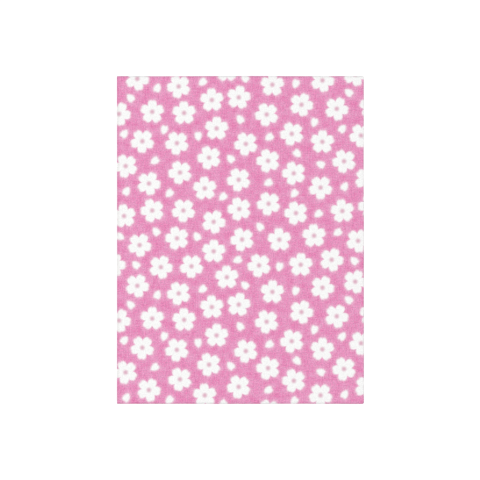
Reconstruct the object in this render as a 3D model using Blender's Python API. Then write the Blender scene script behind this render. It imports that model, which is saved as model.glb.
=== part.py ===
"""A folded tenugui towel: one length of thin plain-weave cotton, doubled down the middle of its width and then
folded in half twice along its length, so that eight layers lie flat on each other.

Metres, +Z up. The origin is at the middle of the underside. +X points to the fold down the middle of the width,
-X to the open selvedges and +Y to the two raw cut ends. The printed face that shows is the top layer.
"""

import math
from collections import namedtuple

import bmesh
import bpy
from mathutils import Vector

# Driving dimensions: the towel as it lies folded, and the room that each layer of its cloth takes.
FOLDED_WIDTH = 0.170
FOLDED_LENGTH = 0.226
LAYER_THICKNESS = 0.0010
LAYER_GAP = 0.0003

# How far the inner fold and the two cut ends stay back from the folds that lie round them.
INNER_FOLD_CLEARANCE = 0.0006
LOWEST_END_SET_BACK = 0.0022
SECOND_END_SET_BACK = 0.0018

# Steps of the mesh: on each straight run, in each quarter turn and across each half of the width.
STEPS_ALONG_RUN = 6
STEPS_IN_QUARTER_TURN = 4
STEPS_ACROSS_HALF = 5

# Rose pink, the mean of the printed ground and its white flowers, as linear red, green and blue.
CLOTH_COLOUR = (0.87, 0.55, 0.69, 1.0)
CLOTH_ROUGHNESS = 0.9

# The doubled cloth is two layers, one on each side of the line that the folds below are drawn for.
LAYER_PITCH = LAYER_THICKNESS + LAYER_GAP
DOUBLED_THICKNESS = LAYER_PITCH + LAYER_THICKNESS
MIDDLE_FOLD_RADIUS = LAYER_PITCH / 2
FOLD_RADIUS = LAYER_PITCH
PASS_PITCH = 2 * FOLD_RADIUS
PASSES = 4

# Where the straight runs stop, as distances from the middle of the towel's length.
OUTER_REACH = FOLDED_LENGTH / 2 - DOUBLED_THICKNESS / 2 - FOLD_RADIUS
INNER_REACH = OUTER_REACH - DOUBLED_THICKNESS - INNER_FOLD_CLEARANCE
LOWEST_END = FOLDED_LENGTH / 2 - LOWEST_END_SET_BACK
SECOND_END = FOLDED_LENGTH / 2 - SECOND_END_SET_BACK
OUTER_FOLD_RISE = (PASSES - 1) * PASS_PITCH - 2 * FOLD_RADIUS

# The doubled cloth from its lowest cut end to the other. Each row is a straight run and the turn after it, in
# degrees, and how far the middle fold and the selvedges of the outer and inner layer stay in, at the run's end,
# from the sides of the folded towel.
Pass = namedtuple("Pass", "run turn fold_in outer_selvedge_in inner_selvedge_in")
PASS_TABLE = (
    Pass(LOWEST_END + OUTER_REACH, -90, 0.0003, 0.0004, 0.0008),
    Pass(OUTER_FOLD_RISE, -90, 0.0, 0.0, 0.0005),
    Pass(2 * OUTER_REACH, -180, 0.0, 0.0, 0.0004),
    Pass(OUTER_REACH + INNER_REACH, 180, 0.0005, 0.0007, 0.0002),
    Pass(INNER_REACH + SECOND_END, 0, 0.0003, 0.0002, 0.0011),
)
LOWEST_END_ROW = Pass(0.0, 0, 0.0006, 0.0012, 0.0004)

Station = namedtuple("Station", "along height heading sides")


def eased(share):
    """A share of the way from 0 to 1 that starts and stops softly."""
    return share * share * (3 - 2 * share)


def sides_of(row):
    """How far in the middle fold and the two selvedges are, as one vector."""
    return Vector((row.fold_in, row.outer_selvedge_in, row.inner_selvedge_in))


def moved(along, height, heading, distance):
    """The place that is this far off in the direction of heading, in the plane of the passes."""
    return along + distance * math.cos(heading), height + distance * math.sin(heading)


def path_stations():
    """Every place where the doubled cloth has a cross-section, from its lowest cut end to the other."""
    along, height, heading = LOWEST_END, DOUBLED_THICKNESS / 2, math.pi
    before = sides_of(LOWEST_END_ROW)
    stations = [Station(along, height, heading, before)]
    for row in PASS_TABLE:
        after = sides_of(row)
        for step in range(1, STEPS_ALONG_RUN + 1):
            along, height = moved(along, height, heading, row.run / STEPS_ALONG_RUN)
            sides = before.lerp(after, eased(step / STEPS_ALONG_RUN))
            stations.append(Station(along, height, heading, sides))
        turn_steps = STEPS_IN_QUARTER_TURN * abs(row.turn) // 90
        for _ in range(turn_steps):
            angle = math.radians(row.turn / turn_steps)
            chord = 2 * FOLD_RADIUS * math.sin(abs(angle) / 2)
            along, height = moved(along, height, heading + angle / 2, chord)
            heading += angle
            stations.append(Station(along, height, heading, after))
        before = after
    return stations


def cross_section(station):
    """The doubled cloth cut across: points of its mid-line as distances across and off the path, from the outer
    selvedge round the middle fold to the inner selvedge."""
    side = FOLDED_WIDTH / 2
    fold_in, outer_selvedge_in, inner_selvedge_in = station.sides
    fold_centre = side - fold_in - LAYER_THICKNESS / 2 - MIDDLE_FOLD_RADIUS
    outer_selvedge = outer_selvedge_in - side
    inner_selvedge = inner_selvedge_in - side
    points = []
    for step in range(STEPS_ACROSS_HALF):
        share = step / STEPS_ACROSS_HALF
        points.append((outer_selvedge + (fold_centre - outer_selvedge) * share, MIDDLE_FOLD_RADIUS))
    turn_steps = 2 * STEPS_IN_QUARTER_TURN
    for step in range(turn_steps + 1):
        angle = math.pi / 2 - math.pi * step / turn_steps
        across = fold_centre + MIDDLE_FOLD_RADIUS * math.cos(angle)
        points.append((across, MIDDLE_FOLD_RADIUS * math.sin(angle)))
    for step in range(1, STEPS_ACROSS_HALF + 1):
        share = step / STEPS_ACROSS_HALF
        points.append((fold_centre + (inner_selvedge - fold_centre) * share, -MIDDLE_FOLD_RADIUS))
    return points


def placed(station, across, off):
    """A point of the cross-section in the towel's own frame. The outer layer is on the left of the heading."""
    along, height = moved(station.along, station.height, station.heading + math.pi / 2, off)
    return across, along, height


def cotton_material():
    """Matt printed cotton."""
    material = bpy.data.materials.new("printed_cotton")
    material.use_nodes = True
    shader = material.node_tree.nodes["Principled BSDF"]
    shader.inputs["Base Color"].default_value = CLOTH_COLOUR
    shader.inputs["Roughness"].default_value = CLOTH_ROUGHNESS
    shader.inputs["Metallic"].default_value = 0.0
    return material


def folded_cloth():
    """The whole towel, one sheet of cloth: its mid-surface row by row, given its thickness by Solidify."""
    bm = bmesh.new()
    rows = []
    for station in path_stations():
        rows.append([bm.verts.new(placed(station, across, off)) for across, off in cross_section(station)])
    for near, far in zip(rows, rows[1:]):
        for column in range(len(near) - 1):
            bm.faces.new((near[column], near[column + 1], far[column + 1], far[column]))
    mesh = bpy.data.meshes.new("folded_cloth")
    bm.to_mesh(mesh)
    bm.free()
    mesh.shade_smooth()
    mesh.materials.append(cotton_material())
    cloth = bpy.data.objects.new("folded_cloth", mesh)
    bpy.context.scene.collection.objects.link(cloth)
    thickness = cloth.modifiers.new("cloth_thickness", "SOLIDIFY")
    thickness.thickness = LAYER_THICKNESS
    thickness.offset = 0.0
    thickness.use_even_offset = True
    return cloth


for leftover in list(bpy.data.objects):
    bpy.data.objects.remove(leftover)
folded_cloth()
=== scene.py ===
import math
from collections import namedtuple

import bpy
import numpy as np
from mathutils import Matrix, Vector


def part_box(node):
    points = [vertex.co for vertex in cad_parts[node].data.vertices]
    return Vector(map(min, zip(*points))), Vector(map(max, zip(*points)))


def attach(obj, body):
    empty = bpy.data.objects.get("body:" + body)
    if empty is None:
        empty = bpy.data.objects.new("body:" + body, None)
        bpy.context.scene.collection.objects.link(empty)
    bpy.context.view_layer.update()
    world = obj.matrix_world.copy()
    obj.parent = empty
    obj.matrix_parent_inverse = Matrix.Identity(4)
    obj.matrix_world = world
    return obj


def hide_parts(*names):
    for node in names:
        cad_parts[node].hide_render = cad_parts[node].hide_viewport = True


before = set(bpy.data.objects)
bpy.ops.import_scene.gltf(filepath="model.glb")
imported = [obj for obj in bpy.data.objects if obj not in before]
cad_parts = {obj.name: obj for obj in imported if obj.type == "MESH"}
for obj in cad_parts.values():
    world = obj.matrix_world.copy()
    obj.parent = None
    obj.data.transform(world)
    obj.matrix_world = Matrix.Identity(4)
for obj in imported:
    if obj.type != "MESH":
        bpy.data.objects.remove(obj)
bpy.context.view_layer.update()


# The cloth of the towel: one length of thin plain-weave cotton, with a selvedge down each long side and both
# short ends cut raw. It is doubled down the middle of its width and then folded in half twice along its
# length, so that eight layers lie loosely on each other. The face that shows is the top layer.
low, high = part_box("folded_cloth")
FOLDED_WIDTH = high.x - low.x
FOLDED_LENGTH = high.y - low.y
PILE_HEIGHT = high.z - low.z
CLOTH_THICKNESS = 0.0005
LAYERS = 8
PASSES = LAYERS // 2
LAYER_PITCH = (PILE_HEIGHT - CLOTH_THICKNESS) / (LAYERS - 1)
MIDDLE_FOLD_RADIUS = LAYER_PITCH / 2
FOLD_RADIUS = LAYER_PITCH
PASS_PITCH = 2 * FOLD_RADIUS
OUTER_FOLD_RISE = (PASSES - 1) * PASS_PITCH - 2 * FOLD_RADIUS

# How far the inner fold and the two cut ends stay back from the folds that lie round them, and where the
# straight runs of the doubled cloth stop, as distances from the middle of the towel's length.
INNER_FOLD_CLEARANCE = 0.0006
LOWEST_END_SET_BACK = 0.0022
SECOND_END_SET_BACK = 0.0018
OUTER_REACH = FOLDED_LENGTH / 2 - (LAYER_PITCH + CLOTH_THICKNESS) / 2 - FOLD_RADIUS
INNER_REACH = OUTER_REACH - LAYER_PITCH - CLOTH_THICKNESS - INNER_FOLD_CLEARANCE
LOWEST_END = FOLDED_LENGTH / 2 - LOWEST_END_SET_BACK
SECOND_END = FOLDED_LENGTH / 2 - SECOND_END_SET_BACK

# The doubled cloth from its lowest cut end to the other. Each row is a straight run and the turn after it, in
# degrees, and how far the middle fold and the selvedges of the outer and inner layer stay in at the run's
# end. FACE_PASS is the row of the face that shows, counted from 0.
Pass = namedtuple("Pass", "run turn fold_in outer_selvedge_in inner_selvedge_in")
PASS_TABLE = (
    Pass(LOWEST_END + OUTER_REACH, -90, 0.0003, 0.0004, 0.0008),
    Pass(OUTER_FOLD_RISE, -90, 0.0, 0.0, 0.0005),
    Pass(2 * OUTER_REACH, -180, 0.0, 0.0, 0.0004),
    Pass(OUTER_REACH + INNER_REACH, 180, 0.0005, 0.0007, 0.0002),
    Pass(INNER_REACH + SECOND_END, 0, 0.0003, 0.0002, 0.0011),
)
LOWEST_END_ROW = Pass(0.0, 0, 0.0006, 0.0012, 0.0004)
FACE_PASS = 2

# The steps of the mesh: their length along a run, and how many there are up the outer fold, in each quarter
# turn and across each half of the width.
RUN_STEP = 0.0034
RISE_STEPS = 4
STEPS_IN_QUARTER_TURN = 6
STEPS_ACROSS_HALF = 60


def eased(share):
    """A share of the way from 0 to 1 that starts and stops softly."""
    return share * share * (3 - 2 * share)


def sides_of(row):
    """How far in the middle fold and the two selvedges are, as one vector."""
    return Vector((row.fold_in, row.outer_selvedge_in, row.inner_selvedge_in))


def lay_path():
    """The line that the doubled cloth follows, one row for each cross-section: along, height, heading, the
    length of cloth used so far and the three side distances. Also the length used where the face starts."""
    along, height, heading, used = LOWEST_END, (CLOTH_THICKNESS + LAYER_PITCH) / 2, math.pi, 0.0
    before = sides_of(LOWEST_END_ROW)
    rows = [(along, height, heading, used, *before)]
    face_start = 0.0
    for number, row in enumerate(PASS_TABLE):
        if number == FACE_PASS:
            face_start = used
        after = sides_of(row)
        steps = max(RISE_STEPS, round(row.run / RUN_STEP))
        for step in range(1, steps + 1):
            along += row.run / steps * math.cos(heading)
            height += row.run / steps * math.sin(heading)
            used += row.run / steps
            rows.append((along, height, heading, used, *before.lerp(after, eased(step / steps))))
        turn_steps = STEPS_IN_QUARTER_TURN * abs(row.turn) // 90
        for _ in range(turn_steps):
            angle = math.radians(row.turn / turn_steps)
            chord = 2 * FOLD_RADIUS * math.sin(abs(angle) / 2)
            along += chord * math.cos(heading + angle / 2)
            height += chord * math.sin(heading + angle / 2)
            heading += angle
            used += FOLD_RADIUS * abs(angle)
            rows.append((along, height, heading, used, *after))
        before = after
    return np.array(rows), face_start


def lay_across(fold_in, outer_in, inner_in):
    """The doubled cloth cut across, from the outer selvedge round the middle fold to the inner one. For each
    column of the mesh it gives the distance across, and the direction that is square to the cloth as its
    share across the towel and its share off the path."""
    side = FOLDED_WIDTH / 2
    centre = side - fold_in - CLOTH_THICKNESS / 2 - MIDDLE_FOLD_RADIUS
    share = np.linspace(0, 1, STEPS_ACROSS_HALF + 1)[:, None]
    angle = np.linspace(math.pi / 2, -math.pi / 2, 2 * STEPS_IN_QUARTER_TURN + 1)[1:-1, None]
    outer = (outer_in - side) + (centre - outer_in + side) * share
    inner = centre + (inner_in - side - centre) * share
    across = np.vstack((outer, centre + MIDDLE_FOLD_RADIUS * np.cos(angle), inner))
    square_across = np.vstack((0 * share, np.cos(angle), 0 * share))
    square_off = np.vstack((0 * share + 1, np.sin(angle), 0 * share - 1))
    return across.T, square_across.T, square_off.T


path, face_start = lay_path()
along, height, heading, used = (path[:, column, None] for column in range(4))
across, square_across, square_off = lay_across(*path[:, 4:].T)
off = MIDDLE_FOLD_RADIUS * square_off

# The flat cloth's own measures of each point: from the outer selvedge, and from the lowest cut end. In a fold
# the outer layer takes more cloth than the inner one, so the layers slip past each other there.
flat_across, _, _ = lay_across(0.0, 0.0, 0.0)
fold_step = math.pi * MIDDLE_FOLD_RADIUS / (2 * STEPS_IN_QUARTER_TURN)
widths = np.abs(np.diff(flat_across[0]))
widths[STEPS_ACROSS_HALF:-STEPS_ACROSS_HALF] = fold_step
from_selvedge = np.concatenate(([0.0], np.cumsum(widths)))[None, :] + 0 * along
from_cut_end = used - off * heading
CLOTH_WIDTH = float(from_selvedge[0, -1])

# Slack in the layers, in metres: long soft waves square to the cloth, each with its own spacing and
# direction.
Wave = namedtuple("Wave", "depth across_spacing along_spacing start")
SLACK_WAVES = (
    Wave(0.00006, 0.131, 0.310, 0.4),
    Wave(0.00005, -0.083, 0.117, 2.1),
    Wave(0.00003, 0.047, 0.071, 4.4),
)
slack = 0.0
for wave in SLACK_WAVES:
    phase = from_selvedge / wave.across_spacing + from_cut_end / wave.along_spacing
    slack = slack + wave.depth * np.sin(2 * math.pi * phase + wave.start)
across = across + slack * square_across
off = off + slack * square_off
points = np.stack((
    across,
    along - off * np.sin(heading),
    height + off * np.cos(heading),
), axis=-1)

# The folds at the two ends are pressed: the cloth stays flat for longer and then turns down more sharply than
# it would round a rod, so its points close to the outline lie further out.
PRESS = 0.45
PRESSED_ZONE = 0.0021
room = np.clip((FOLDED_LENGTH - CLOTH_THICKNESS) / 2 - np.abs(points[..., 1]), 0, PRESSED_ZONE)
points[..., 1] += np.sign(points[..., 1]) * PRESS * room * (1 - room / PRESSED_ZONE) ** 2

# The pile lies a little lower on its open side, where no fold props the layers apart, and between its folds.
# Close to the end folds the open side keeps less than half of that sink.
OPEN_SIDE_SINK = 0.055
SINK_SHARE_AT_ENDS = 0.45
MIDDLE_SINK = 0.02
openness = eased(np.clip(-points[..., 0] / (FOLDED_WIDTH / 2), 0, 1))
from_end = eased(np.clip((FOLDED_LENGTH / 2 - np.abs(points[..., 1])) / (FOLDED_LENGTH / 4), 0, 1))
sink_share = SINK_SHARE_AT_ENDS + (1 - SINK_SHARE_AT_ENDS) * from_end
points[..., 2] *= 1 - OPEN_SIDE_SINK * openness * sink_share - MIDDLE_SINK * from_end

# The lowest layer lies flat on the table where its slack would take it lower.
points[..., 2] = np.maximum(points[..., 2], CLOTH_THICKNESS / 2)

# Near the outer fold the cloth is pulled a little askew, so its print comes lower on the right than on the
# left.
SKEW = 0.0006
near_outer_fold = eased(np.clip(-points[..., 1] / (FOLDED_LENGTH / 2), 0, 1))
skew = SKEW * near_outer_fold * points[..., 0] / (FOLDED_WIDTH / 2)

# The flat cloth as a grid with a column and a row for each of those places, folded by moving its points. They
# are taken row by row, in the order of their places in the flat grid.
rows, columns = from_selvedge.shape
bpy.ops.object.select_all(action="DESELECT")
bpy.ops.mesh.primitive_grid_add(x_subdivisions=columns - 1, y_subdivisions=rows - 1, size=1)
towel = bpy.context.object
towel.name = "printed_towel"
mesh = towel.data
grid = np.zeros(3 * len(mesh.vertices))
mesh.vertices.foreach_get("co", grid)
grid = grid.reshape(-1, 3)
order = np.lexsort((grid[:, 0].round(6), grid[:, 1].round(6)))
folded = np.empty_like(grid)
folded[order] = points.reshape(-1, 3)
mesh.vertices.foreach_set("co", folded.ravel())
flat_place = np.empty((len(grid), 2))
flat_place[order] = np.stack((from_selvedge, from_cut_end + skew), axis=-1).reshape(-1, 2)
corner_vertex = np.zeros(len(mesh.loops), dtype=np.int32)
mesh.loops.foreach_get("vertex_index", corner_vertex)
corner_place = flat_place[corner_vertex]
mesh.uv_layers[0].data.foreach_set("uv", corner_place.ravel())


# The print: five-petalled blossoms and loose petals left white on a pink ground, a common repeat of small
# spring flowers. It is printed on the flat cloth before folding, so it runs over the folds and is cut at the
# selvedges. The chart gives one repeat, with the place of each motif read off the photograph.

# A step of the chart is one pixel of the photograph, and the chart's corner is the face's top left.
CHART_STEP = 0.000688
CHART_LEFT = 116.8
CHART_TOP = 75.65
REPEAT_ACROSS = 290.5
REPEAT_DOWN = 207.15

# Each flower: steps across, steps down, and the turn of a petal from the right, anticlockwise, in degrees.
FLOWERS = (
    (226.7, 70.0, 20), (355.2, 74.3, 68), (137.2, 78.7, 64), (322.4, 80.3, 66), (272.3, 84.6, 16),
    (178.6, 86.3, 43), (392.0, 82.5, 30), (238.7, 97.3, 8), (211.8, 99.9, 21), (301.4, 104.6, 67),
    (371.2, 106.7, 16), (336.7, 108.7, 64), (152.1, 111.6, 17), (184.0, 112.8, 20), (118.9, 113.8, 66),
    (266.6, 114.4, 44), (216.5, 128.3, 16), (291.7, 133.7, 42), (361.0, 135.4, 50), (387.5, 135.0, 10),
    (142.2, 141.0, 51), (322.3, 141.7, 16), (176.8, 143.0, 47), (245.8, 143.8, 45), (209.0, 157.6, 39),
    (268.0, 160.7, 36), (344.0, 161.1, 43), (389.3, 163.8, 52), (125.5, 165.9, 44), (179.9, 172.4, 43),
    (293.7, 173.2, 36), (366.6, 179.1, 64), (238.6, 179.6, 45), (148.8, 183.4, 65), (320.5, 187.5, 54),
    (204.7, 188.3, 22), (395.0, 192.0, 5), (268.5, 203.6, 44), (369.8, 206.1, 36), (239.2, 208.9, 37),
    (152.1, 210.4, 38), (183.3, 210.4, 51), (342.3, 210.9, 26), (295.9, 213.0, 36), (123.9, 215.9, 25),
    (213.6, 221.7, 65), (388.5, 226.5, 47), (314.0, 235.6, 22), (176.9, 238.2, 34), (242.0, 239.4, 42),
    (279.3, 239.6, 22), (358.0, 240.7, 61), (139.5, 245.0, 60), (213.6, 251.2, 16), (381.0, 253.0, 25),
    (331.6, 259.7, 67), (300.7, 264.6, 16), (113.8, 265.0, 0), (259.0, 265.3, 44), (191.4, 266.2, 52),
    (160.8, 267.1, 66),
)

# Each loose petal: steps across, steps down, and the direction of its notched end.
LOOSE_PETALS = (
    (245.1, 78.2, 318), (202.8, 81.8, 40), (295.7, 83.4, 70), (373.8, 86.5, 310), (157.2, 88.0, 250),
    (348.9, 92.6, 321), (130.6, 98.0, 312), (240.2, 119.3, 302), (314.4, 122.0, 74), (342.1, 128.9, 233),
    (164.2, 129.3, 75), (124.0, 133.8, 231), (198.1, 135.7, 95), (269.5, 136.9, 33), (297.0, 153.1, 134),
    (371.5, 157.0, 200), (230.8, 158.8, 312), (154.9, 160.5, 33), (320.9, 164.4, 335), (268.5, 182.5, 27),
    (344.5, 186.6, 240), (126.2, 191.3, 240), (169.5, 193.0, 45), (294.4, 193.2, 50), (223.1, 196.5, 43),
    (318.6, 213.6, 40), (260.0, 226.8, 306), (156.2, 231.7, 307), (337.9, 232.2, 31), (119.6, 236.4, 152),
    (197.1, 236.6, 299), (237.8, 259.7, 22), (354.4, 260.9, 315), (136.0, 265.0, 316), (279.5, 266.4, 76),
    (376.5, 271.5, 60),
)

# How far a flower and a loose petal reach from their middles, and how many of the motifs nearest to it each
# face of the mesh is told.
FLOWER_REACH = 0.0083
PETAL_REACH = 0.0036
NEAREST = 3
CORNERS = 4


def chart_motifs():
    """Every motif of the repeat: its place on the flat cloth from the face's top left, its turn, its reach,
    and 1 for a flower or 0 for a loose petal."""
    motifs = []
    for table, reach, flower in ((FLOWERS, FLOWER_REACH, 1.0), (LOOSE_PETALS, PETAL_REACH, 0.0)):
        for steps_across, steps_down, turn in table:
            place_across = (steps_across - CHART_LEFT) * CHART_STEP
            place_up = (CHART_TOP - steps_down) * CHART_STEP
            motifs.append((place_across, place_up, math.radians(turn), reach, flower))
    return np.array(motifs)


def wrapped(distance, repeat):
    """A distance to the nearest copy in a repeat."""
    return distance - repeat * np.round(distance / repeat)


# Each face of the cloth is told its nearest motifs. Its corners then carry their own place as seen from each
# motif's middle, turned with it, and whether it is a flower. The print's material draws the motif from that.
motifs = chart_motifs()
motif_turn, motif_reach, motif_flower = motifs[:, 2:].T
place = corner_place - (0.0, face_start + OUTER_REACH + FOLDED_LENGTH / 2)
face_middle = place.reshape(-1, CORNERS, 2).mean(axis=1)
repeat = (REPEAT_ACROSS * CHART_STEP, REPEAT_DOWN * CHART_STEP)
gap = [wrapped(face_middle[:, None, axis] - motifs[None, :, axis], repeat[axis]) for axis in range(2)]
nearest = np.argsort(np.hypot(gap[0], gap[1]) - motif_reach, axis=1)[:, :NEAREST]
for rank in range(NEAREST):
    chosen = nearest[:, rank]
    to_middle = [np.take_along_axis(gap[axis], chosen[:, None], axis=1)[:, 0] for axis in range(2)]
    from_motif = [
        np.repeat(to_middle[axis] - face_middle[:, axis], CORNERS) + place[:, axis] for axis in range(2)
    ]
    turn = np.repeat(motif_turn[chosen], CORNERS)
    carried = np.stack((
        from_motif[0] * np.cos(turn) + from_motif[1] * np.sin(turn),
        from_motif[1] * np.cos(turn) - from_motif[0] * np.sin(turn),
        np.repeat(motif_flower[chosen], CORNERS),
    ), axis=-1)
    attribute = mesh.attributes.new(f"motif_{rank}", "FLOAT_VECTOR", "CORNER")
    attribute.data.foreach_set("vector", carried.ravel())


class Socket:
    """An output of a node in a material. A sum or product of these adds its own Math nodes."""

    def __init__(self, tree, output=None):
        self.tree = tree
        self.output = output

    def node(self, kind, settings, inputs, output=0):
        """A new node, with its settings made first and then its inputs set or linked."""
        made = self.tree.nodes.new(kind)
        for name, value in settings.items():
            if name == "curve_points":
                set_curve(made.mapping, value)
            else:
                setattr(made, name, value)
        for name, value in inputs.items():
            if isinstance(value, Socket):
                self.tree.links.new(value.output, made.inputs[name])
            else:
                made.inputs[name].default_value = value
        return Socket(self.tree, made.outputs[output])

    def maths(self, operation, *others):
        """One Math node on this and the others, in their order."""
        return self.node("ShaderNodeMath", {"operation": operation}, dict(enumerate((self, *others))))

    def __add__(self, other):
        return self.maths("ADD", other)

    def __sub__(self, other):
        return self.maths("SUBTRACT", other)

    def __mul__(self, other):
        return self.maths("MULTIPLY", other)

    __radd__ = __add__
    __rmul__ = __mul__

    def __rsub__(self, other):
        return self.node("ShaderNodeMath", {"operation": "SUBTRACT"}, {0: other, 1: self})

    def part(self, number):
        """The part of this place with that number: 0 across, 1 up, 2 the third."""
        return self.node("ShaderNodeSeparateXYZ", {}, {0: self}, output=number)

    def between(self, first, second):
        """The first value where this is 0 and the second where it is 1."""
        return self * (second - first) + first

    def mixed(self, first, second):
        """The first colour where this is 0 and the second where it is 1. A Mix node's two colours are its
        inputs 6 and 7, and its mixed colour is its output 2."""
        return self.node("ShaderNodeMix", {"data_type": "RGBA"}, {0: self, 6: first, 7: second}, output=2)

    def times(self, colour):
        """This colour multiplied by another."""
        return self.node("ShaderNodeVectorMath", {"operation": "MULTIPLY"}, {0: self, 1: colour})

    def soft_step(self, start, end):
        """0 below start and 1 above end, with a soft change between."""
        settings = {"interpolation_type": "SMOOTHSTEP"}
        return self.node("ShaderNodeMapRange", settings, {"Value": self, "From Min": start, "From Max": end})

    def noise(self, spacing_across, spacing_up, shift):
        """Cloudy noise from 0 to 1 over this place on the flat cloth, with its own spacing each way."""
        scale = (1 / spacing_across, 1 / spacing_up, 1.0)
        mapping = {"Vector": self, "Location": (shift, shift, 0.0), "Scale": scale}
        place = self.node("ShaderNodeMapping", {}, mapping)
        inputs = {"Vector": place, "Scale": 1.0, "Detail": 2.0, "Roughness": 0.6}
        return self.node("ShaderNodeTexNoise", {"noise_dimensions": "2D"}, inputs)


def set_curve(mapping, points):
    """Gives a curve these points, first and last among them, in place of its straight line."""
    curve = mapping.curves[0]
    curve.points[0].location = points[0]
    curve.points[1].location = points[-1]
    for point in points[1:-1]:
        curve.points.new(*point)
    mapping.update()


# Half of a flower's petal and half of a loose petal, as degrees from the petal's middle line and metres from
# the centre. Each ends in a shallow notch, and the loose petal has its point at 180 degrees. The dye bleeds
# about a millimetre along the threads, so every edge is soft and a little uneven, and the pink is a little
# thinner for a few millimetres round each motif.
FLOWER_PETAL = (
    (0, 0.0078), (12, 0.0081), (19, 0.0077), (25, 0.0070), (29, 0.0064), (32, 0.0059), (36, 0.0052),
)
LOOSE_PETAL = (
    (0, 0.00255), (15, 0.0028), (33, 0.0031), (50, 0.0029), (90, 0.0025), (120, 0.0025), (150, 0.0028),
    (168, 0.0032), (180, 0.0035),
)
PETAL_TURN = math.radians(72)
DOT_RADIUS = 0.00145
DYE_BLEED = 0.0012
THIN_DYE_REACH = 0.0030
THIN_DYE = 0.12
EDGE_UNEVENNESS = 0.00025

# Threads of the plain weave: how proud one stands where it passes over another, and how softly the two change
# places there.
THREAD_SPACING = 0.00043
THREAD_RELIEF = 0.00005
CROSSING_SOFTNESS = 0.3

# Some threads take the dye well and some badly, in slubs a few millimetres long, and the cloth has faint
# clouds. The dye's paleness is by this share from the slubs and for the rest from the clouds, and it changes
# between these two levels of them. Thick and thin places in the yarn, its knots, catch more or less light,
# and that light and shade is painted into the colour over a noise of this spacing. The pattern of each of
# these is shifted by its own amount, so that no two of them agree.
SLUB_WIDTH = 0.0008
SLUB_LENGTH = 0.0060
CLOUD_SPACING = 0.0060
PAINTED_SHADE_SPACING = 0.0008
SLUB_SHARE = 0.72
PALENESS_LEVELS = (0.32, 0.68)
WARP_SHIFT = 0.0
WEFT_SHIFT = 7.3
CLOUD_SHIFT = 3.1
PAINTED_SHADE_SHIFT = 11.7

# Cotton is matt, and a little less so on top of its threads.
COTTON_ROUGHNESS = 0.95
ROUGHNESS_DROP = 0.08
COTTON_SPECULAR = 0.25

# The two pinks are well and badly dyed threads, and the next two colours multiply them with painted shade
# where the yarn is thin and catches less light and painted light where it is thick and catches more. The dot
# in a flower's middle is paler. The last two are the undyed cotton, again in painted shade where the yarn is
# thin and painted light where it is thick.
DEEP_PINK = (0.695, 0.184, 0.391, 1.0)
PALE_PINK = (0.735, 0.338, 0.529, 1.0)
PAINTED_YARN_SHADE = (0.52, 0.68, 0.59, 1.0)
PAINTED_YARN_LIGHT = (1.48, 1.32, 1.41, 1.0)
DOT_PINK = (0.67, 0.40, 0.50, 1.0)
SHADED_COTTON = (0.71, 0.71, 0.705, 1.0)
WHITE_AND_PAINTED_LIT_COTTON = (1.0, 1.0, 0.995, 1.0)

# A band a few threads wide along each selvedge is a little deeper in colour. It fades out between these two
# distances from the edge.
SELVEDGE_BAND = (0.0010, 0.0022)
SELVEDGE_SHADE = (0.93, 0.92, 0.915, 1.0)
NO_SELVEDGE_DARKENING = (1.0, 1.0, 1.0, 1.0)


def outline_reach(angle, outline):
    """How far an outline reaches from its centre at this angle, read from a curve through its points."""
    last = outline[-1][0]
    longest = max(reach for _, reach in outline)
    points = [(degrees / last, reach / longest) for degrees, reach in outline]
    share = angle * (1 / math.radians(last))
    return share.node("ShaderNodeFloatCurve", {"curve_points": points}, {"Value": share}) * longest


def motif_masks(tree, rank, wobble):
    """How white the cloth is from its motif of this rank, and how much of the flower's pink dot is there."""
    settings = {"attribute_name": f"motif_{rank}"}
    seen = Socket(tree).node("ShaderNodeAttribute", settings, {}, output="Vector")
    right = seen.part(0)
    up = seen.part(1)
    is_flower = seen.part(2)
    radius = (right * right + up * up).maths("SQRT")
    angle = up.maths("ARCTAN2", right)
    flower_edge = outline_reach(angle.maths("PINGPONG", PETAL_TURN / 2), FLOWER_PETAL)
    loose_edge = outline_reach(angle.maths("ABSOLUTE"), LOOSE_PETAL)
    inside = is_flower.between(loose_edge, flower_edge) - radius + wobble
    thin_dye = inside.soft_step(-THIN_DYE_REACH, 0.0) * THIN_DYE
    white = inside.soft_step(-DYE_BLEED, DYE_BLEED).maths("MAXIMUM", thin_dye)
    dot = (DOT_RADIUS - radius + wobble).soft_step(-DYE_BLEED, DYE_BLEED) * is_flower
    return white, dot


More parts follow.
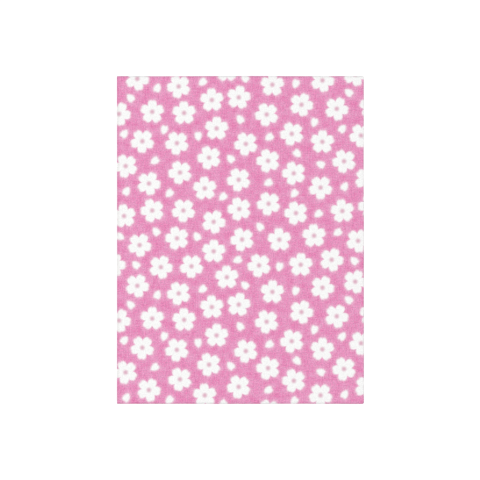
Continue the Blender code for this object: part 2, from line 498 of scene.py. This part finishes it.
def printed_cotton():
    """Matt plain-weave cotton with its print and the painted shade and light of its yarn, drawn over the flat
    cloth.
    """
    material = bpy.data.materials.new("printed_cotton")
    material.use_nodes = True
    tree = material.node_tree
    shader = tree.nodes["Principled BSDF"]
    flat = Socket(tree).node("ShaderNodeUVMap", {"uv_map": "UVMap"}, {})

    warp_wave = (flat.part(0) * (math.pi / THREAD_SPACING)).maths("SINE")
    weft_wave = (flat.part(1) * (math.pi / THREAD_SPACING)).maths("SINE")
    warp_over = (warp_wave * weft_wave).soft_step(-CROSSING_SOFTNESS, CROSSING_SOFTNESS)
    relief = warp_over.between(weft_wave * weft_wave, warp_wave * warp_wave)
    warp_slubs = flat.noise(SLUB_WIDTH, SLUB_LENGTH, WARP_SHIFT)
    weft_slubs = flat.noise(SLUB_LENGTH, SLUB_WIDTH, WEFT_SHIFT)
    clouds = flat.noise(CLOUD_SPACING, CLOUD_SPACING, CLOUD_SHIFT)
    threads = warp_over.between(weft_slubs, warp_slubs)
    paleness = (threads * SLUB_SHARE + clouds * (1 - SLUB_SHARE)).soft_step(*PALENESS_LEVELS)
    # The noise that places the painted shade and painted light of thin and thick yarn.
    yarn = flat.noise(PAINTED_SHADE_SPACING, PAINTED_SHADE_SPACING, PAINTED_SHADE_SHIFT)

    wobble = (threads - 0.5) * EDGE_UNEVENNESS
    white, dot = motif_masks(tree, 0, wobble)
    for rank in range(1, NEAREST):
        next_white, next_dot = motif_masks(tree, rank, wobble)
        white = white.maths("MAXIMUM", next_white)
        dot = dot.maths("MAXIMUM", next_dot)
    # Painted shade and light multiply the pink, and the undyed cotton is mixed between a painted-shade and a
    # painted-light copy.
    pink = paleness.mixed(DEEP_PINK, PALE_PINK).times(yarn.mixed(PAINTED_YARN_SHADE, PAINTED_YARN_LIGHT))
    cotton = yarn.mixed(SHADED_COTTON, WHITE_AND_PAINTED_LIT_COTTON)
    # The colour is a little deeper in a band along each selvedge.
    past_selvedge = flat.part(0).maths("PINGPONG", CLOTH_WIDTH / 2).soft_step(*SELVEDGE_BAND)
    shade = past_selvedge.mixed(SELVEDGE_SHADE, NO_SELVEDGE_DARKENING)
    colour = dot.mixed(white.mixed(pink, cotton), DOT_PINK).times(shade)
    roughness = COTTON_ROUGHNESS - relief * ROUGHNESS_DROP
    bump = relief.node("ShaderNodeBump", {}, {"Strength": 1.0, "Distance": THREAD_RELIEF, "Height": relief})
    tree.links.new(colour.output, shader.inputs["Base Color"])
    tree.links.new(roughness.output, shader.inputs["Roughness"])
    tree.links.new(bump.output, shader.inputs["Normal"])
    shader.inputs["Specular IOR Level"].default_value = COTTON_SPECULAR
    return material


mesh.uv_layers[0].name = "UVMap"
mesh.materials.append(printed_cotton())

# The sheet gets its thickness to both sides of its middle, and its thin edges are rounded a little.
EDGE_ROUNDING = 0.00015
RIM_ANGLE = math.radians(60)
thickness = towel.modifiers.new("cloth_thickness", "SOLIDIFY")
thickness.thickness = CLOTH_THICKNESS
thickness.offset = 0.0
thickness.use_even_offset = True
bpy.ops.object.modifier_apply(modifier=thickness.name)
rounding = towel.modifiers.new("edge_rounding", "BEVEL")
rounding.width = EDGE_ROUNDING
rounding.segments = 2
rounding.limit_method = "ANGLE"
rounding.angle_limit = RIM_ANGLE
bpy.ops.object.modifier_apply(modifier=rounding.name)
bpy.ops.object.shade_smooth_by_angle(angle=RIM_ANGLE)
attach(towel, "root")
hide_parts("folded_cloth")


# The threads at the two raw cut ends. The lengthwise yarns come loose there and stand out a millimetre or so,
# each bent its own way, and the last crosswise yarn lies half free among them. They are the cloth's own white
# and pink cotton, made as thin round curves that start inside the sheet.
YARN_RADIUS = 0.00009
YARN_SPACING = 0.0011
YARN_SPACING_SHARES = (0.5, 1.5)
YARN_ROOT = 0.0010
YARN_LENGTHS = (0.0004, 0.0015)
YARN_THINNING = 0.5

# A yarn bends sideways and, by this share as much, up or down. Its middle point lies at this share of its
# length and has this share of the bend.
YARN_BEND = 0.00022
BEND_UP_SHARE = 0.5
MIDDLE_OUT_SHARE = 0.55
MIDDLE_BEND_SHARE = 0.4

# The free crosswise yarn wanders in and out of the cut end, between these shares of its distance out.
FREE_YARN_STEP = 0.0025
FREE_YARN_OUT = 0.0004
FREE_YARN_SHARES = (-0.5, 1.0)
RANDOM_START = 11
hand = np.random.default_rng(RANDOM_START)


def end_place(row, from_edge):
    """Where the cut end of this row of the mesh is, at this distance over the cloth from its outer
    selvedge."""
    place = [float(np.interp(from_edge, from_selvedge[row], points[row, :, axis])) for axis in range(3)]
    return Vector(place)


def add_yarn(curve, places, thinning):
    """One thin thread through these places, none of them lower than it can lie on the table. It is thinner at
    its end, by this share of its radius."""
    spline = curve.splines.new("POLY")
    spline.points.add(len(places) - 1)
    for number, (point, at) in enumerate(zip(spline.points, places)):
        point.co = (at.x, at.y, max(at.z, YARN_RADIUS), 1.0)
        point.radius = 1.0 - thinning * number / (len(places) - 1)


yarns = bpy.data.curves.new("cut_end_threads", "CURVE")
yarns.dimensions = "3D"
yarns.bevel_depth = YARN_RADIUS
yarns.bevel_resolution = 0
yarns.use_fill_caps = True
outward = Vector((0, 1, 0))
for row in (0, rows - 1):
    from_edge = YARN_SPACING / 2
    while from_edge < CLOTH_WIDTH:
        length = hand.uniform(*YARN_LENGTHS)
        bend = Vector((hand.normal(0, YARN_BEND), 0, hand.normal(0, YARN_BEND) * BEND_UP_SHARE))
        root = end_place(row, from_edge)
        middle = root + outward * length * MIDDLE_OUT_SHARE + bend * MIDDLE_BEND_SHARE
        tip = root + outward * length + bend
        add_yarn(yarns, (root - outward * YARN_ROOT, root, middle, tip), YARN_THINNING)
        from_edge += YARN_SPACING * hand.uniform(*YARN_SPACING_SHARES)
    steps = int(CLOTH_WIDTH / FREE_YARN_STEP)
    places = []
    for step in range(1, steps):
        lift = Vector((0, hand.uniform(*FREE_YARN_SHARES) * FREE_YARN_OUT, hand.normal(0, YARN_RADIUS)))
        places.append(end_place(row, CLOTH_WIDTH * step / steps) + lift)
    add_yarn(yarns, places, 0.0)
threads = bpy.data.objects.new("cut_end_threads", yarns)
bpy.context.collection.objects.link(threads)
bpy.ops.object.select_all(action="DESELECT")
threads.select_set(True)
bpy.context.view_layer.objects.active = threads
bpy.ops.object.convert(target="MESH")
threads = bpy.context.object

# The loose yarns are pink with white stretches about as far apart as the motifs, and their fibres are dyed
# unevenly.
STRETCH_SPACING = 0.012
STRETCH_LEVELS = (0.52, 0.62)
FIBRE_SPACING = 0.0004
FIBRE_LEVELS = (0.3, 0.7)
FIBRE_BUMP = 0.6


def loose_cotton():
    """Matt cotton yarn, pink where the cloth is dyed and white where it isn't."""
    material = bpy.data.materials.new("loose_cotton")
    material.use_nodes = True
    tree = material.node_tree
    shader = tree.nodes["Principled BSDF"]
    here = Socket(tree).node("ShaderNodeTexCoord", {}, {}, output="Object")
    stretch_inputs = {"Vector": here, "Scale": 1 / STRETCH_SPACING, "Detail": 1.0}
    stretches = here.node("ShaderNodeTexNoise", {}, stretch_inputs)
    fibre_inputs = {"Vector": here, "Scale": 1 / FIBRE_SPACING, "Detail": 2.0}
    fibres = here.node("ShaderNodeTexNoise", {}, fibre_inputs)
    dyed = stretches.soft_step(*STRETCH_LEVELS).mixed(PALE_PINK, WHITE_AND_PAINTED_LIT_COTTON)
    colour = fibres.soft_step(*FIBRE_LEVELS).mixed(DEEP_PINK, dyed)
    bump_inputs = {"Strength": FIBRE_BUMP, "Distance": YARN_RADIUS / 2, "Height": fibres}
    bump = fibres.node("ShaderNodeBump", {}, bump_inputs)
    tree.links.new(colour.output, shader.inputs["Base Color"])
    tree.links.new(bump.output, shader.inputs["Normal"])
    shader.inputs["Roughness"].default_value = COTTON_ROUGHNESS
    return material


threads.data.materials.append(loose_cotton())
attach(threads, "root")


# The table under the towel, plain and almost white. Its paint is grey with a glow of its own, which keeps the
# towel's shadow on it pale. The light is soft studio light, most of it from almost straight above.
FLOOR_SIZE = 6.0
FLOOR_DROP = 0.0001
FLOOR_GREY = (0.25, 0.25, 0.25, 1.0)
FLOOR_ROUGHNESS = 0.8
FLOOR_GLOW = 0.80
PLAIN_WHITE = (1.0, 1.0, 1.0, 1.0)
bpy.ops.object.select_all(action="DESELECT")
bpy.ops.mesh.primitive_plane_add(size=FLOOR_SIZE, location=(0, 0, -FLOOR_DROP))
floor = bpy.context.object
floor.name = "table_top"
floor_material = bpy.data.materials.new("white_table")
floor_material.use_nodes = True
floor_shader = floor_material.node_tree.nodes["Principled BSDF"]
floor_shader.inputs["Base Color"].default_value = FLOOR_GREY
floor_shader.inputs["Roughness"].default_value = FLOOR_ROUGHNESS
floor_shader.inputs["Emission Color"].default_value = PLAIN_WHITE
floor_shader.inputs["Emission Strength"].default_value = FLOOR_GLOW
floor.data.materials.append(floor_material)

# Each lamp is a square panel that is turned towards the towel, and the room adds a little white light.
ROOM_LIGHT = 0.20
Lamp = namedtuple("Lamp", "name place size watts")
LAMPS = (
    Lamp("window_light", (-1.1, 0.1, 1.4), 0.9, 7.5),
    Lamp("ceiling_light", (0.1, 0.0, 2.2), 1.0, 39.7),
)
for lamp in LAMPS:
    bpy.ops.object.light_add(type="AREA", location=lamp.place)
    light = bpy.context.object
    light.name = lamp.name
    light.data.size = lamp.size
    light.data.energy = lamp.watts
    light.rotation_euler = Vector(lamp.place).to_track_quat("Z", "Y").to_euler()
world = bpy.data.worlds.new("white_room")
world.use_nodes = True
world.node_tree.nodes["Background"].inputs["Color"].default_value = PLAIN_WHITE
world.node_tree.nodes["Background"].inputs["Strength"].default_value = ROOM_LIGHT
bpy.context.scene.world = world
bpy.context.scene.view_settings.view_transform = "Standard"


# The camera looks straight down on the towel from high above, a hair to the left of its middle. The picture
# is 480 steps of the chart across at the height of the face.
PICTURE_STEPS = 480
CAMERA_ACROSS = -0.00028
CAMERA_LENS = 100.0
SENSOR_WIDTH = 36.0
camera_rise = PICTURE_STEPS * CHART_STEP * CAMERA_LENS / SENSOR_WIDTH
bpy.ops.object.camera_add(location=(CAMERA_ACROSS, 0, PILE_HEIGHT + camera_rise))
camera = bpy.context.object
camera.rotation_euler = (0, 0, 0)
camera.data.lens = CAMERA_LENS
camera.data.sensor_width = SENSOR_WIDTH
camera.data.clip_start = 0.01
camera.data.clip_end = 20.0
bpy.context.scene.camera = camera
